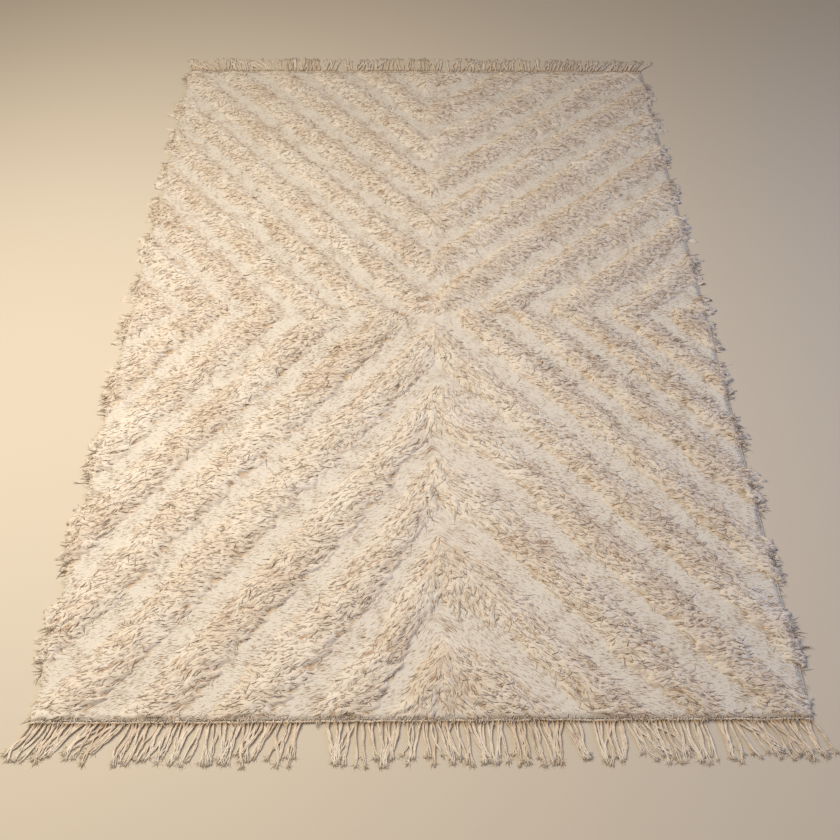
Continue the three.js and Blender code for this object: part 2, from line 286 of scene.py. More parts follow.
def hexagonal(spacing, random, half_width, half_length, jitter=0.38):
    """Roots on a jittered hexagonal grid, as rows of knots are."""
    rows = np.arange(-half_length, half_length, spacing * 0.866)  # such rows are closer than steps
    steps = np.arange(-half_width, half_width, spacing)
    x, y = np.meshgrid(steps, rows)
    x = x + (np.arange(len(rows)) % 2)[:, None] * spacing / 2
    x, y = x.ravel(), y.ravel()
    x = x + random.uniform(-jitter, jitter, x.size) * spacing
    y = y + random.uniform(-jitter, jitter, y.size) * spacing
    keep = (np.abs(x) < half_width) & (np.abs(y) < half_length)
    return x[keep], y[keep]


class Fleece:
    """The pile as one combed surface: a grid of heights with streaks drawn along the combing."""

    def __init__(self, cell, crest, channel):
        self.half = WIDTH / 2 + OVERHANG
        self.nx, self.ny = int(2 * self.half / cell) + 1, int(LENGTH / cell) + 1
        x, y = np.meshgrid(np.linspace(-self.half, self.half, self.nx),
                           np.linspace(-LENGTH / 2, LENGTH / 2, self.ny))
        self.x, self.y = x, y
        self.heading = combing(x, y) + 0.45 * noise(x, y, 0.028, 23)
        way = np.cos(self.heading), np.sin(self.heading)
        random = np.random.default_rng(71)
        fine = self.streaks(random.normal(0, 1, x.shape), way, 0.012, 7)
        broad = random.normal(0, 1, x.shape)
        for _ in range(2):  # spreads each value over a few cells before it is drawn out
            broad = (broad + np.roll(broad, 1, 0) + np.roll(broad, 1, 1)
                     + np.roll(broad, (1, 1), (0, 1))) / 4
        broad = self.streaks(broad, way, 0.020, 9)
        from_end = LENGTH / 2 - np.abs(y)
        beyond = np.abs(x) - WIDTH / 2

        # Where pile stands: in the bands, and a little downstream of them, since it lies over
        on_cloth = np.clip(x, 0.01 - WIDTH / 2, WIDTH / 2 - 0.01)
        here = pile_share(on_cloth, y)
        upstream = pile_share(on_cloth - 0.014 * way[0], y - 0.014 * way[1])
        share = 0.5 * here ** 0.7 + 0.5 * upstream
        edge = 4 * share * (1 - share)  # most at a band's edges, where tips and roots make it ragged
        share = smoothstep(share + (0.28 * broad + 0.16 * fine) * edge, 0.06, 0.88)

        # The rim: how far the pile hangs past the selvedge, which is less near the corners
        reach = 0.020 + 0.011 * noise(y, np.sign(x), 0.022, 33) + 0.006 * broad + 0.004 * fine
        reach = reach * smoothstep(from_end, -0.04, 0.14) * smoothstep(share, 0.05, 0.75)
        share = share * smoothstep(reach - beyond, 0, 0.005)
        past = np.maximum(beyond - np.maximum(reach, 0), 0) * (beyond > 0)
        self.drawn_x = x - np.sign(x) * past  # the rim runs along the reach, not along the grid
        self.share = share * smoothstep(from_end + 0.002 * broad, 0.000, 0.004)

        # Heights: a body of pile over the flat weave, which droops over the rim and at the ends
        body = pile_share(on_cloth, y, 0.052) * smoothstep(from_end, -0.020, 0.050)
        base = mix(channel, 0.001, smoothstep(beyond, -0.003, 0.003))
        droop = np.clip((beyond + 0.014) / (np.maximum(reach, 0.008) + 0.014), 0, 1) ** 1.4
        top = mix(channel + 0.003, crest + 0.0016 * noise(x, y, 0.05, 31), body)
        top = mix(top, 0.0035, droop)

        # Rows of knots, as steps in the height where one row's tips lie on the next one's roots
        facing = np.sign(way[0])
        cell_x = 2 * self.half / (self.nx - 1)
        self.across = following(-way[1] * facing, way[0] * facing, cell_x)
        self.along = following(way[0], way[1], cell_x)
        stagger = noise(x, y, 0.012, 34) + 0.35 * broad
        row = (self.along / ROW_PITCH + 0.6 * stagger) % 1  # from a row of roots to the next one's
        # roots and relief serve only to paint shade on the surface: at each row of roots and in the
        # hollows
        self.roots = 1 - smoothstep(row, 0.02, 0.22)
        self.relief = 0.4 * broad + 0.85 * fine
        rough = 0.0010 * broad + 0.0007 * fine + 0.0024 * (smoothstep(row, 0, 0.18) - row)
        self.z = mix(base, top, self.share) + self.share * rough * (1 - 0.5 * droop)

    def streaks(self, field, way, half_length, taps):
        """Averages a field along the combing, so that its swells become long streaks."""
        total = 0
        for k in np.linspace(-half_length, half_length, taps):
            total = total + self.sample(field, self.x + k * way[0], self.y + k * way[1])
        return (total - total.mean()) / total.std()

    def sample(self, field, x, y):
        """A field's values between the points of the grid."""
        u = np.clip((x + self.half) / (2 * self.half), 0, 1) * (self.nx - 1)
        v = np.clip((y + LENGTH / 2) / LENGTH, 0, 1) * (self.ny - 1)
        i, j = np.minimum(u.astype(int), self.nx - 2), np.minimum(v.astype(int), self.ny - 2)
        low = mix(field[j, i], field[j, i + 1], u - i)
        high = mix(field[j + 1, i], field[j + 1, i + 1], u - i)
        return mix(low, high, v - j)

    def height(self, x, y):
        """Height of the surface, which sinks to the floor outside the cloth."""
        return self.sample(self.z, x, y)

    def patch(self, inside):
        """The surface's mesh where inside() of a quad's middle holds and pile stands."""
        quads = grid_quads(self.ny, self.nx)
        stands = self.share.ravel()[quads].max(axis=2) > 0.02
        middle_x = (self.x[:-1, :-1] + self.x[1:, 1:]) / 2
        middle_y = (self.y[:-1, :-1] + self.y[1:, 1:]) / 2
        quads = quads[stands & inside(middle_x, middle_y)]
        used, quads = np.unique(quads, return_inverse=True)
        quads = quads.reshape(-1, 4)
        take = lambda field: field.ravel()[used]
        x, y, share, relief, roots = [
            take(field) for field in (self.drawn_x, self.y, self.share, self.relief, self.roots)]
        z = np.maximum(take(self.z) - 0.0025 * (1 - smoothstep(share, 0.0, 0.12)), 0.0002)
        # painted shade: hollows and rows of roots are coloured darker through the along attribute, and
        # thin edges get less of it, as light comes through them
        unshaded = smoothstep(relief - 0.9 * roots, -1.9, -0.4)
        thin = 0.5 * (1 - smoothstep(share, 0.1, 0.6))  # thin edges let light through
        unshaded = np.maximum(unshaded, thin)
        attributes = {"tint": patches(x, y), "along": 0.13 + 0.5 * unshaded,
                      "fibre": np.stack([take(self.across), take(self.along), 0 * x], axis=1)}
        return np.stack([x, y, z], axis=1), [[quads], []], attributes


def lay(surface, x, y, heading, reach, bend, lift, shares, width, thickness, widths, seed, tint=None):
    """Strands that lie along a surface. lift is their height above it, one for each station."""
    random = np.random.default_rng(seed)
    count, stations = len(x), len(shares)
    turn = heading[:, None] + bend[:, None] * (np.array(shares)[None] - 0.3)
    step = np.diff(np.array(shares), prepend=0)[None] * reach[:, None]
    px = x[:, None] + np.cumsum(np.cos(turn) * step, axis=1)
    py = y[:, None] + np.cumsum(np.sin(turn) * step, axis=1)
    pz = np.maximum(surface(px, py) + lift, STRAND_REST)
    lean = random.normal(0, 0.15, (count, 1)) * np.ones((1, stations))
    side = np.stack([np.sin(turn) * np.cos(lean), -np.cos(turn) * np.cos(lean), np.sin(lean)], axis=2)
    taper = np.array(widths)[None]
    return shells(np.stack([px, py, pz], axis=2), side, width[:, None] / 2 * taper,
                  thickness[:, None] / 2 * taper, tint=tint, seed=seed)


# Materials


def add(tree, kind, inputs=None, **settings):
    """Adds a node with its settings; an input is a value, or the socket that it is linked from."""
    node = tree.nodes.new(kind)
    for key, value in settings.items():
        setattr(node, key, value)
    for key, value in (inputs or {}).items():
        if isinstance(value, bpy.types.NodeSocket):
            tree.links.new(value, node.inputs[key])
        else:
            node.inputs[key].default_value = value
    return node


def bare_material(name):
    """A new material without nodes, and its tree."""
    material = bpy.data.materials.new(name)
    material.use_nodes = True
    material.node_tree.nodes.clear()
    return material, material.node_tree


# Raw cotton is matt, with the faint sheen of fine hairs that stand off the yarn
COTTON_FINISH = {"Specular IOR Level": 0.06, "Sheen Weight": 0.10, "Sheen Roughness": 0.6}


def cotton(name, root, middle, tip, tan, fibre_shade, root_end=0.26, root_from=0.02, fibre_shade_strength=0.36, bump=0.4):
    """Combed cotton: a matt bundle of fine fibres with a soft sheen. The eye sees pale rounded locks
    with fine streaks along them, and warm brown depths where light is lost between their roots.
    root, middle and tip are its colours from the ground up; the brown root colour is painted shade
    between the roots and in hollows. tan multiplies the darker locks, and the darkest streaks are
    painted shade between fibres. Streaks are drawn about 2 mm apart and 18 mm long, coarser than
    real fibres, to show."""
    material, tree = bare_material(name)
    along = add(tree, "ShaderNodeAttribute", attribute_name="along")
    tint = add(tree, "ShaderNodeAttribute", attribute_name="tint")
    fibre = add(tree, "ShaderNodeAttribute", attribute_name="fibre")
    stretched = add(tree, "ShaderNodeMapping",
                    {"Vector": fibre.outputs["Vector"], "Scale": (1, 0.12, 1)})
    streaks = add(tree, "ShaderNodeTexNoise", {"Vector": stretched.outputs[0], "Scale": 1 / (2.2 * MM),
                                               "Detail": 1.0, "Roughness": 0.5})
    # painted shade: the ramp gives the root colour where the along attribute marks roots, hollows and
    # strand flanks
    length = add(tree, "ShaderNodeValToRGB", {"Fac": along.outputs["Fac"]})
    ramp = length.color_ramp
    ramp.elements[0].position, ramp.elements[0].color = root_from, root
    ramp.elements[1].position, ramp.elements[1].color = root_end, middle
    ramp.elements.new(0.9).color = tip
    varied = add(tree, "ShaderNodeMapRange",
                 {"Value": tint.outputs["Fac"], "To Min": 0.0, "To Max": 0.55})
    mixed = add(tree, "ShaderNodeMix", {0: varied.outputs[0], 6: length.outputs["Color"], 7: tan},
                data_type="RGBA", blend_type="MULTIPLY")
    # painted shade: thin streaks of it between the fibres, denser where the cotton is tan
    denser = add(tree, "ShaderNodeMath", {0: tint.outputs["Fac"], 1: -0.12, 2: streaks.outputs["Fac"]},
                 operation="MULTIPLY_ADD")
    shade = add(tree, "ShaderNodeMapRange", {"Value": denser.outputs[0], "From Min": 0.26,
                                              "From Max": 0.37, "To Min": fibre_shade_strength, "To Max": 0.0})
    shaded_lines = add(tree, "ShaderNodeMix", {0: shade.outputs[0], 6: mixed.outputs[2], 7: fibre_shade},
                data_type="RGBA")
    relief = add(tree, "ShaderNodeBump", {"Height": streaks.outputs["Fac"], "Strength": bump,
                                           "Distance": 0.25 * MM})
    surface = add(tree, "ShaderNodeBsdfPrincipled", {
        **COTTON_FINISH, "Base Color": shaded_lines.outputs[2], "Roughness": 0.92,
        "Sheen Tint": linear("#FFE2BC"), "Normal": relief.outputs["Normal"]})
    add(tree, "ShaderNodeOutputMaterial", {"Surface": surface.outputs[0]})
    return material


def flat_weave(name, colour, shade, painted_shade):
    """Weft-faced cotton plain weave: soft thick weft beaten down over the warp. The eye sees short
    pale floats in staggered rows, with slubs, and a darker ground under the pile, which is painted
    shade. Floats are 5 mm long and 2.4 mm apart. Slubs are drawn 2 mm wide and 12 mm long, coarser
    than real, to show. shade is the colour of the darker streaks, and the colour under the pile is
    painted shade."""
    material, tree = bare_material(name)
    place = add(tree, "ShaderNodeTexCoord")
    wander = add(tree, "ShaderNodeTexNoise", {"Vector": place.outputs["Object"], "Scale": 1 / (40 * MM)})
    wavy = add(tree, "ShaderNodeVectorMath", {0: wander.outputs["Color"], 1: (6 * MM, 6 * MM, 0),
                                              2: place.outputs["Object"]}, operation="MULTIPLY_ADD")
    floats = add(tree, "ShaderNodeTexBrick",
                 {"Vector": wavy.outputs[0], "Scale": 1.0, "Mortar Size": 0.5 * MM, "Mortar Smooth": 1.0,
                  "Brick Width": 5 * MM, "Row Height": 2.4 * MM, "Color1": (1, 1, 1, 1),
                  "Color2": (0.8, 0.8, 0.8, 1), "Mortar": (0.3, 0.3, 0.3, 1)})
    fibre = add(tree, "ShaderNodeAttribute", attribute_name="fibre")
    stretched = add(tree, "ShaderNodeMapping",
                    {"Vector": fibre.outputs["Vector"], "Scale": (1, 0.17, 1)})
    slubs = add(tree, "ShaderNodeTexNoise", {"Vector": stretched.outputs[0], "Scale": 1 / (2.0 * MM),
                                             "Detail": 3.0, "Roughness": 0.6})
    under = add(tree, "ShaderNodeAttribute", attribute_name="shade_under_pile")
    uneven = add(tree, "ShaderNodeMath", {0: wander.outputs["Fac"], 1: 0.35, 2: slubs.outputs["Fac"]},
                 operation="MULTIPLY_ADD")
    spread = add(tree, "ShaderNodeMapRange", {"Value": uneven.outputs[0], "From Min": 0.46,
                                               "From Max": 0.67})
    tone = add(tree, "ShaderNodeMix", {0: spread.outputs[0], 6: shade, 7: colour}, data_type="RGBA")
    woven = add(tree, "ShaderNodeMix", {0: 0.12, 6: tone.outputs[2], 7: floats.outputs["Color"]},
                data_type="RGBA", blend_type="MULTIPLY")
    # painted shade: under the pile the weave turns to a darker colour
    ground = add(tree, "ShaderNodeMix", {0: under.outputs["Fac"], 6: woven.outputs[2], 7: painted_shade},
                 data_type="RGBA")
    height = add(tree, "ShaderNodeMath", {0: floats.outputs["Fac"], 1: -0.6, 2: slubs.outputs["Fac"]},
                 operation="MULTIPLY_ADD")
    relief = add(tree, "ShaderNodeBump", {"Height": height.outputs[0], "Strength": 0.5,
                                           "Distance": 0.9 * MM})
    surface = add(tree, "ShaderNodeBsdfPrincipled", {
        **COTTON_FINISH, "Base Color": ground.outputs[2], "Roughness": 0.95,
        "Sheen Tint": linear("#FFE8CC"), "Normal": relief.outputs["Normal"]})
    add(tree, "ShaderNodeOutputMaterial", {"Surface": surface.outputs[0]})
    return material


def painted_floor(name, colour):
    """Eggshell paint, rolled on: nearly matt, with a faint 6 mm roller texture."""
    material, tree = bare_material(name)
    place = add(tree, "ShaderNodeTexCoord")
    roller = add(tree, "ShaderNodeTexNoise", {"Vector": place.outputs["Object"], "Scale": 1 / (6 * MM)})
    relief = add(tree, "ShaderNodeBump", {"Height": roller.outputs["Fac"], "Strength": 0.05,
                                           "Distance": 0.3 * MM})
    surface = add(tree, "ShaderNodeBsdfPrincipled", {
        "Base Color": colour, "Roughness": 0.75, "Specular IOR Level": 0.2,
        "Normal": relief.outputs["Normal"]})
    add(tree, "ShaderNodeOutputMaterial", {"Surface": surface.outputs[0]})
    return material


# What a user would change


def metres(name, description, default, low, high):
    return bpy.props.FloatProperty(name=name, description=description, default=default, min=low,
                                   max=high, subtype="DISTANCE", unit="LENGTH", precision=4)


def colour(name, description, default):
    return bpy.props.FloatVectorProperty(name=name, description=description, default=linear(default),
                                         size=4, min=0, max=1, subtype="COLOR")


class RugPileSettings(bpy.types.PropertyGroup):
    cell: metres("Surface cell", "Grid of the combed surface", 0.0036, 0.002, 0.02)
    strand_spacing: metres("Strand spacing", "Distance between the loose strands", 0.0100, 0.006, 0.05)
    strand_length: metres("Strand length", "Length of a loose strand of pile", 0.030, 0.01, 0.05)
    strand_width: metres("Strand width", "Width of a loose strand", 0.0027, 0.001, 0.006)
    crest: metres("Crest", "Height of the lying pile in the middle of a band", 0.0170, 0.01, 0.026)
    # painted shade: the root colour stands in for the shade between the roots of the pile
    root_shade_colour: colour("Root", "Colour between the roots of the pile", "#A4743C")
    colour: colour("Pile", "Colour of the combed cotton", "#DFD8D1")
    tip_colour: colour("Tip", "Colour of the loose tips", "#EAE5E0")


class RugClothSettings(bpy.types.PropertyGroup):
    channel: metres("Channel height", "Height of the flat weave in a channel", 0.006, 0.003, 0.009)
    bed: metres("Bed height", "Height of the ground that carries the roots of the pile",
                0.0085, 0.006, 0.018)
    nap_spacing: metres("Nap spacing", "Distance between the short locks of a channel",
                        0.0168, 0.005, 0.04)
    colour: colour("Weave", "Colour of the flat weave", "#E4DFD9")


class RugFringeSettings(bpy.types.PropertyGroup):
    near_strands: bpy.props.IntProperty(name="Near strands", description="Strands in the near fringe",
                                        default=225, min=20, max=300)
    far_strands: bpy.props.IntProperty(name="Far strands", description="Strands in the far fringe",
                                       default=200, min=20, max=300)
    strand_length: metres("Strand length", "Length of the loose warp ends", 0.085, 0.03, 0.09)
    colour: colour("Warp", "Colour of the warp ends", "#E8DDD2")


class RugStageSettings(bpy.types.PropertyGroup):
    key: bpy.props.FloatProperty(name="Key light", default=68.0, min=0, max=2000, unit="POWER",
                                 description="Power of the warm light from the left")
    fill: bpy.props.FloatProperty(name="Fill light", default=29.0, min=0, max=2000, unit="POWER",
                                  description="Power of the cool light from the right")
    floor: colour("Floor", "Colour of the painted floor", "#CFC6BA")


class RUG_OT_pile(bpy.types.Operator):
    """Knots the lying pile into the bands, one piece for each quarter of the rug"""

    bl_idname = "rug.pile"
    bl_label = "Pile"

    def execute(self, context):
        pile = context.scene.rug_pile
        random = np.random.default_rng(101)
        fleece = Fleece(pile.cell, pile.crest, context.scene.rug_cloth.channel)
        x, y = hexagonal(pile.strand_spacing, random, WIDTH / 2 - 0.002, LENGTH / 2 - HEADING, 0.5)
        rims = 2 * RIM_STRANDS
        edge_x = np.repeat([-1, 1], RIM_STRANDS) * (WIDTH / 2 - random.uniform(-0.004, 0.020, rims))
        edge_y = random.uniform(-LENGTH / 2 + 0.03, LENGTH / 2 - 0.02, rims)
        end_x = random.uniform(-WIDTH / 2 + 0.002, WIDTH / 2 - 0.002, END_STRANDS)
        end_y = np.sign(random.uniform(-1, 0.7, END_STRANDS))  # more of them at the near end
        end_y = end_y * (LENGTH / 2 - random.uniform(-0.001, 0.012, END_STRANDS))
        x, y = np.append(x, edge_x), np.append(y, edge_y)
        keep = pile_share(x, y) > 0.35 + random.uniform(-0.2, 0.2, x.size)
        x, y = np.append(x[keep], end_x), np.append(y[keep], end_y)
        n = x.size
        at_end = np.arange(n) >= n - END_STRANDS
        unruly = random.uniform(0, 1, n) < 0.07
        rim = smoothstep(np.abs(x), 0.772, 0.797)
        heading = fleece.sample(fleece.heading, x, y)
        outward = np.where(x > 0, 0.0, np.pi) + random.normal(-0.1, 0.35, n) * np.sign(x)
        heading = np.where(random.uniform(0, 1, n) < 0.8 * rim, outward, heading)
        heading = np.where(at_end, np.sign(y) * np.pi / 2 + random.normal(0, 0.5, n), heading)
        heading = heading + np.where(unruly, random.normal(0, 1.1, n), random.normal(0, 0.32, n))
        top = random.uniform(0.0002, 0.0011, n) + 0.0014 * unruly
        tip = random.uniform(-0.0008, 0.0003, n) + 0.001 * unruly
        width = pile.strand_width * random.uniform(0.5, 1.5, n)
        shorter = np.where(at_end, 0.55, 1)
        strands = dict(x=x, y=y, heading=heading, bend=random.normal(0, 0.6, n), width=width,
                       lift=np.stack([np.full(n, -0.0005), top, tip], axis=1),
                       reach=pile.strand_length * random.uniform(0.5, 1.25, n) * shorter,
                       thickness=np.where(at_end, 0.25, 0.35) * width,
                       tint=np.clip(patches(x, y) + random.normal(0, 0.25, n) - 0.1, 0, 1))
        # painted shade: the root colour and the darkest streaks of the pile stand in for shade between
        # its locks
        material = cotton("combed_cotton_pile", root=tuple(pile.root_shade_colour), middle=tuple(pile.colour),
                          tip=tuple(pile.tip_colour), tan=linear("#E4D3BD"), fibre_shade=linear("#6A3C16"),
                          fibre_shade_strength=0.62)
        names = ["pile_near_left", "pile_near_right", "pile_far_left", "pile_far_right"]
        for index, name in enumerate(names):
            far, right = index // 2, index % 2
            inside = lambda px, py: ((py > CENTRE[1]) == far) & ((px > CENTRE[0]) == right)
            own = {key: value[inside(x, y)] for key, value in strands.items()}
            loose = lay(fleece.height, shares=(0, 0.45, 1), widths=(0.6, 1.0, 0.0),
                        seed=200 + index, **own)
            piece = mesh_object(name, *joined([fleece.patch(inside), loose]), material)
        return {"FINISHED"}


class RUG_OT_channel_nap(bpy.types.Operator):
    """Lays the short nap of the weft in the flat-woven channels"""

    bl_idname = "rug.channel_nap"
    bl_label = "Channel nap"

    def execute(self, context):
        cloth = context.scene.rug_cloth
        random = np.random.default_rng(301)
        x, y = hexagonal(cloth.nap_spacing, random, WIDTH / 2 - 0.004, LENGTH / 2 - 0.004)
        keep = pile_share(x, y) < 0.4
        x, y = x[keep], y[keep]
        n = x.size
        heading = combing(x, y) + random.normal(0, 0.3, n)
        top = random.uniform(0.0002, 0.0007, n)
        lift = np.stack([np.full(n, -0.001), top, np.full(n, -0.0005)], axis=1)
        # painted shade: the darker root colour and the darkest streaks stand in for shade among the nap
        material = cotton("brushed_cotton_weft", root=linear("#D8C9B0"), middle=tuple(cloth.colour),
                          tip=tuple(cloth.colour), tan=linear("#EADCC6"), fibre_shade=linear("#B39C7C"),
                          fibre_shade_strength=0.4, bump=0.3)
        points, faces, attributes = lay(
            lambda px, py: np.full(px.shape, cloth.channel), x, y, heading, lift=lift,
            reach=random.uniform(0.014, 0.024, n), bend=random.normal(0, 0.4, n),
            width=random.uniform(0.0012, 0.0026, n), thickness=np.full(n, 0.0005),
            shares=(0, 0.5, 1), widths=(0.6, 1.0, 0.0), seed=302)
        piece = mesh_object("channel_nap", points, faces, attributes, material)
        return {"FINISHED"}


class RUG_OT_selvedges(bpy.types.Operator):
    """Binds the two long edges with overcast cords"""

    bl_idname = "rug.selvedges"
    bl_label = "Selvedges"

    def execute(self, context):
        plain = linear("#D6CDBD")
        # painted shade: the darkest streaks stand in for shade between the cord's fibres
        material = cotton("overcast_cotton_cord", root=plain, middle=plain, tip=plain,
                          tan=linear("#DCCDB4"), fibre_shade=linear("#A88C64"), fibre_shade_strength=0.4)
        y = np.arange(-LENGTH / 2 + 0.004, LENGTH / 2 - 0.003, 0.0028)  # stitch and gap in turn
        for name, side in (("selvedge_left", -1), ("selvedge_right", 1)):
            x = side * (WIDTH / 2 - 0.0005) + 0.0014 * noise(y, y * 0, 0.05, 41 + side)
            centre = np.stack([x, y, np.full(y.size, 0.0036)], axis=1)[None]
            across = np.tile([[[1.0, 0.0, 0.0]]], (1, y.size, 1))
            rib = 1 + 0.16 * np.cos(np.arange(y.size) * np.pi)[None]
            points, faces, attributes = shells(centre, across, 0.0017 * rib, 0.0019 * rib, 6, False,
                                               np.array([0.3]), 43)
            piece = mesh_object(name, points, faces, attributes, material)
        return {"FINISHED"}


def frayed_tip(start, heading, tint, random, seed):
    """One loose fibre for each ply's end, which curls down to the floor."""
    n = len(start)
    way = heading + random.normal(0, 0.38, n)
    reach = random.uniform(0.007, 0.019, n)
    curl = random.normal(0, 0.5, n)
    share = np.array([[0, 0.5, 1]])
    turn, step = way[:, None] + curl[:, None] * share, reach[:, None] * share
    path = np.stack([start[:, :1] + np.cos(turn) * step, start[:, 1:2] + np.sin(turn) * step,
                     mix(start[:, 2:], 0.0007, share)], axis=2)
    side = np.stack([np.sin(way), -np.cos(way), 0 * way], axis=1)[:, None] * np.ones((1, 3, 1))
    width = np.tile([[0.0006, 0.0005, 0.0]], (n, 1))
    return shells(path, side, width, width, 3, True, tint, seed)


def heading_cord(toward, seed):
    """The row of knots at an end: two uneven plies laid about each other, with painted shade between the
    knots.
    """
    along = np.arange(-WIDTH / 2, WIDTH / 2, 0.003)
    plies = []
    for ply in range(2):
        phase = along * 2 * np.pi / 0.011 + ply * np.pi  # one turn in 11 mm
        centre = np.stack([along, toward * (LENGTH / 2 + 0.003) + 0.0016 * np.cos(phase)
                           + 0.0018 * noise(along, along * 0, 0.025, seed),
                           0.0040 + 0.0014 * np.sin(phase)], axis=1)[None]
        across = np.tile([[[0.0, -1.0, 0.0]]], (1, along.size, 1))
        thick = 0.0015 + 0.0004 * noise(along, along * 0, 0.006, seed + 3)[None]
        points, faces, attributes = shells(centre, across, thick, thick, 5, False,
                                           np.array([0.45]), seed + 80)
        # painted shade: the cord takes the darker root colour between its knots
        knots = noise(points[:, 0], 0 * points[:, 0] + ply, 0.009, seed + 4)
        attributes["along"] = 0.08 + 0.5 * smoothstep(knots, -0.7, 0.0)
        plies.append((points, faces, attributes))
    return plies


def fringe_parts(toward, strands, lean, bare, length, seed):
    """Loosely twisted warp ends in clumps, their frayed tips and the knotted cord that they hang on.
    toward is -1 for the near end, which is drawn finer, and 1 for the far end."""
    random = np.random.default_rng(seed)
    near = toward < 0
    stations, plies, thickness = (10, 3, 0.0018) if near else (8, 2, 0.0021)
    x = np.linspace(-WIDTH / 2 + 0.004, WIDTH / 2 - 0.004, strands) + random.normal(0, 0.002, strands)
    for low, high in bare:
        x = x[(x < low * MM) | (x > high * MM)]
    n = x.size
    clump = np.cumsum(random.uniform(0, 1, n) < 0.24)  # about four strands to a clump
    places = np.array(lean, dtype=float)
    clumps = clump.max() + 1
    middle = np.array([x[clump == c].mean() if (clump == c).any() else 0 for c in range(clumps)])
    stray = random.normal(0, 7, clumps)[clump] + random.normal(0, 7, n)
    degrees = np.interp(x * 1000, places[:, 0], places[:, 1]) + stray  # the table is in mm
    gather = random.uniform(0.1, 0.7, clumps)[clump] * (middle[clump] - x)
    reach = length * random.uniform(0.82, 1.08, n)
    share = np.linspace(0, 1, stations)[None]
    tip = np.tan(np.radians(degrees)) * reach * 0.8 + gather
    sway = random.normal(0, 0.0035, (n, 1)) * np.sin(np.pi * share) \
        + random.normal(0, 0.002, (n, 1)) * np.sin(2 * np.pi * share)
    px = x[:, None] + tip[:, None] * share ** 1.15 + sway
    drop = np.cos(np.radians(degrees)) * reach
    py = toward * (LENGTH / 2 + 0.005 + drop[:, None] * share)
    layer = random.uniform(0, 0.0020, (n, 1))  # strands of a clump lie over each other
    pz = 0.0024 + 0.0018 * (1 - share) ** 2 + layer * np.sin(np.pi * np.clip(share * 1.1, 0, 1)) + 0 * px
    path = np.stack([px, py, pz], axis=2)
    tangent = np.gradient(path, axis=1)
    tangent /= np.linalg.norm(tangent, axis=2, keepdims=True)
    side = np.cross(tangent, [0, 0, 1.0])
    side /= np.linalg.norm(side, axis=2, keepdims=True)
    parts = []
    tint = np.clip(random.uniform(0, 1, clumps)[clump] * 0.6 + random.uniform(0, 0.5, n), 0, 1)
    twist = random.uniform(0.6, 1.8, (n, 1)) * np.pi * 2
    last_heading = np.arctan2(tangent[:, -1, 1], tangent[:, -1, 0])
    for ply in range(plies):
        phase = twist * share + ply * 2 * np.pi / 3 + random.uniform(0, 6.3, (n, 1))
        loose = 0.0016 * (1 + 1.4 * share ** 3)  # the twist opens toward the tip
        own = path + (np.cos(phase) * loose)[..., None] * side
        own[..., 2] = np.maximum(own[..., 2] + np.sin(phase) * 0.0009, STRAND_REST)
        thick = thickness * random.uniform(0.75, 1.2, (n, 1)) * (1 - 0.4 * share ** 2)
        parts.append(shells(own, side, thick, thick * 0.9, 4, False, tint, seed + ply))
        for hair in range(4):
            parts.append(frayed_tip(own[:, -2], last_heading, tint, random, seed + 50 + hair))
    return joined(parts + heading_cord(toward, seed))


class RUG_OT_fringes(bpy.types.Operator):
    """Hangs the loose warp ends on their knotted cords at both ends of the rug"""

    bl_idname = "rug.fringes"
    bl_label = "Fringes"

    def execute(self, context):
        fringe = context.scene.rug_fringe
        # painted shade: the brown root colour near the knots and the darkest streaks stand in for shade
        material = cotton("plied_cotton_warp", root=linear("#A48A68"), middle=tuple(fringe.colour),
                          tip=linear("#F0EAE2"), tan=linear("#E6D4C0"), fibre_shade=linear("#8A6440"),
                          root_end=0.14, root_from=0.0, fibre_shade_strength=0.4)
        for name, toward, strands, lean, bare, seed in (
                ("near_fringe", -1, fringe.near_strands, NEAR_LEAN, NEAR_BARE, 501),
                ("far_fringe", 1, fringe.far_strands, FAR_LEAN, FAR_BARE, 601)):
            points, faces, attributes = fringe_parts(toward, strands, lean, bare,
                                                     fringe.strand_length, seed)
            piece = mesh_object(name, points, faces, attributes, material)
            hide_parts("fringe_near" if toward < 0 else "fringe_far")
        return {"FINISHED"}


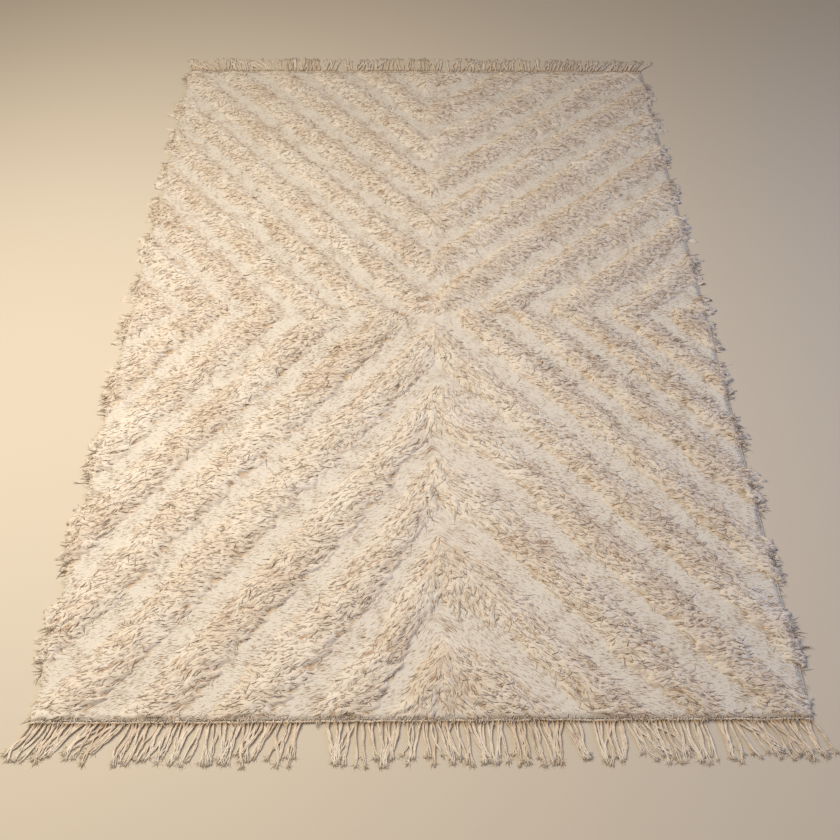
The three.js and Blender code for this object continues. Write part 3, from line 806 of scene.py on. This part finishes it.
class RUG_OT_ground_cloth(bpy.types.Operator):
    """Weaves the flat ground with its channels, the sheet of cloth that all the rest is on"""

    bl_idname = "rug.ground_cloth"
    bl_label = "Ground cloth"

    def execute(self, context):
        cloth = context.scene.rug_cloth
        columns, rows = 115, 165  # points 14 mm apart
        gx, gy = np.meshgrid(np.linspace(-WIDTH / 2, WIDTH / 2, columns),
                             np.linspace(-LENGTH / 2, LENGTH / 2, rows))
        x, y = gx.ravel(), gy.ravel()
        share = pile_share(x, y) * smoothstep(WIDTH / 2 - np.abs(x), 0.0, 0.012)
        sunk = 0.001 * smoothstep(np.abs(x), WIDTH / 2 - 0.006, WIDTH / 2)
        z = mix(cloth.channel, cloth.bed, share) - sunk + 0.0004 * noise(x, y, 0.02, 51)
        top = np.stack([x, y, z], axis=1)
        quads = grid_quads(rows, columns).reshape(-1, 4)
        index = np.arange(x.size).reshape(rows, columns)
        rim = np.concatenate([index[0, :-1], index[:-1, -1], index[-1, :0:-1], index[:0:-1, 0]])
        low = top[rim] * [1, 1, 0]
        count = len(rim)
        under = len(top) + np.arange(count)
        after = (np.arange(count) + 1) % count
        wall = np.stack([rim, under, under[after], rim[after]], axis=1)
        points = np.concatenate([top, low])
        # painted shade: where the pile stands, the weave below it is coloured darker
        shade_under_pile = np.concatenate([smoothstep(share, 0.7, 1.0), np.zeros(count)])
        # A coarse one, which gives only the way that the fibres of the weave seem to run
        fleece = Fleece(0.006, context.scene.rug_pile.crest, cloth.channel)
        fibre = np.stack([fleece.sample(fleece.across, points[:, 0], points[:, 1]),
                          fleece.sample(fleece.along, points[:, 0], points[:, 1]), points[:, 2]], axis=1)
        material = flat_weave("cotton_flat_weave", colour=tuple(cloth.colour), shade=linear("#8C6840"),
                              painted_shade=linear("#BEA27E"))
        piece = mesh_object("ground_cloth", points, [[quads], [wall, under[None, ::-1]]],
                            {"shade_under_pile": shade_under_pile, "fibre": fibre}, material)
        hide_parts("rug_cloth")
        return {"FINISHED"}


class RUG_OT_stage(bpy.types.Operator):
    """Sets the floor, the soft studio light and the camera"""

    bl_idname = "rug.stage"
    bl_label = "Stage"

    def execute(self, context):
        scene = context.scene
        stage = scene.rug_stage
        half = 9.0  # half the floor's width
        corners = np.array([[-half, -half, 0], [half, -half, 0], [half, half, 0], [-half, half, 0]])
        floor = mesh_object("floor", corners, [[], [np.array([[0, 1, 2, 3]])]], {},
                            painted_floor("eggshell_floor_paint", tuple(stage.floor)), piece=False)
        for name, place, target, size, power, tone in (  # warm from the left, cool from the right
                ("key", (-1.12, -0.22, 2.10), (-0.52, -0.77, 0), 2.2, stage.key, "#FFF3DC"),
                ("fill", (3.06, -0.29, 2.00), (1.40, -1.50, 0), 2.0, stage.fill, "#8AB7FF")):
            light = bpy.data.lights.new(name, "AREA")
            light.shape, light.size, light.energy = "DISK", size, power
            light.color = linear(tone)[:3]
            lamp = bpy.data.objects.new(name, light)
            scene.collection.objects.link(lamp)
            lamp.location = place
            lamp.rotation_euler = (Vector(target) - Vector(place)).to_track_quat("-Z", "Y").to_euler()
        world = bpy.data.worlds.new("studio")
        world.use_nodes = True
        background = world.node_tree.nodes["Background"]
        background.inputs["Color"].default_value = linear("#FFECD4")
        background.inputs["Strength"].default_value = 0.24
        scene.world = world
        scene.view_settings.view_transform = "Standard"
        view = bpy.data.cameras.new("camera")
        view.lens, view.sensor_width, view.clip_end = LENS, 36.0, 60.0
        camera = bpy.data.objects.new("camera", view)
        scene.collection.objects.link(camera)
        camera.location = CAMERA_PLACE
        camera.rotation_euler = [math.radians(a) for a in CAMERA_TURN]
        scene.camera = camera
        return {"FINISHED"}


GROUPS = {"rug_pile": RugPileSettings, "rug_cloth": RugClothSettings, "rug_fringe": RugFringeSettings,
          "rug_stage": RugStageSettings}
OPERATORS = [RUG_OT_pile, RUG_OT_channel_nap, RUG_OT_selvedges, RUG_OT_fringes, RUG_OT_ground_cloth,
             RUG_OT_stage]


class RUG_PT_parts(bpy.types.Panel):
    """The rug's settings and its pieces"""

    bl_label = "Cotton shag rug"
    bl_idname = "RUG_PT_parts"
    bl_space_type = "VIEW_3D"
    bl_region_type = "UI"
    bl_category = "Rug"

    def draw(self, context):
        for key, group in GROUPS.items():
            box = self.layout.box()
            for prop in group.__annotations__:
                box.prop(getattr(context.scene, key), prop)
        for operator in OPERATORS:
            self.layout.operator(operator.bl_idname)


def register():
    for kind in [*GROUPS.values(), *OPERATORS, RUG_PT_parts]:
        bpy.utils.register_class(kind)
    for key, group in GROUPS.items():
        setattr(bpy.types.Scene, key, bpy.props.PointerProperty(type=group))


def unregister():
    for key in GROUPS:
        delattr(bpy.types.Scene, key)
    for kind in reversed([*GROUPS.values(), *OPERATORS, RUG_PT_parts]):
        bpy.utils.unregister_class(kind)


def main():
    register()
    for operator in OPERATORS:
        getattr(bpy.ops.rug, operator.bl_idname.split(".")[1])()


if __name__ == "__main__":
    main()
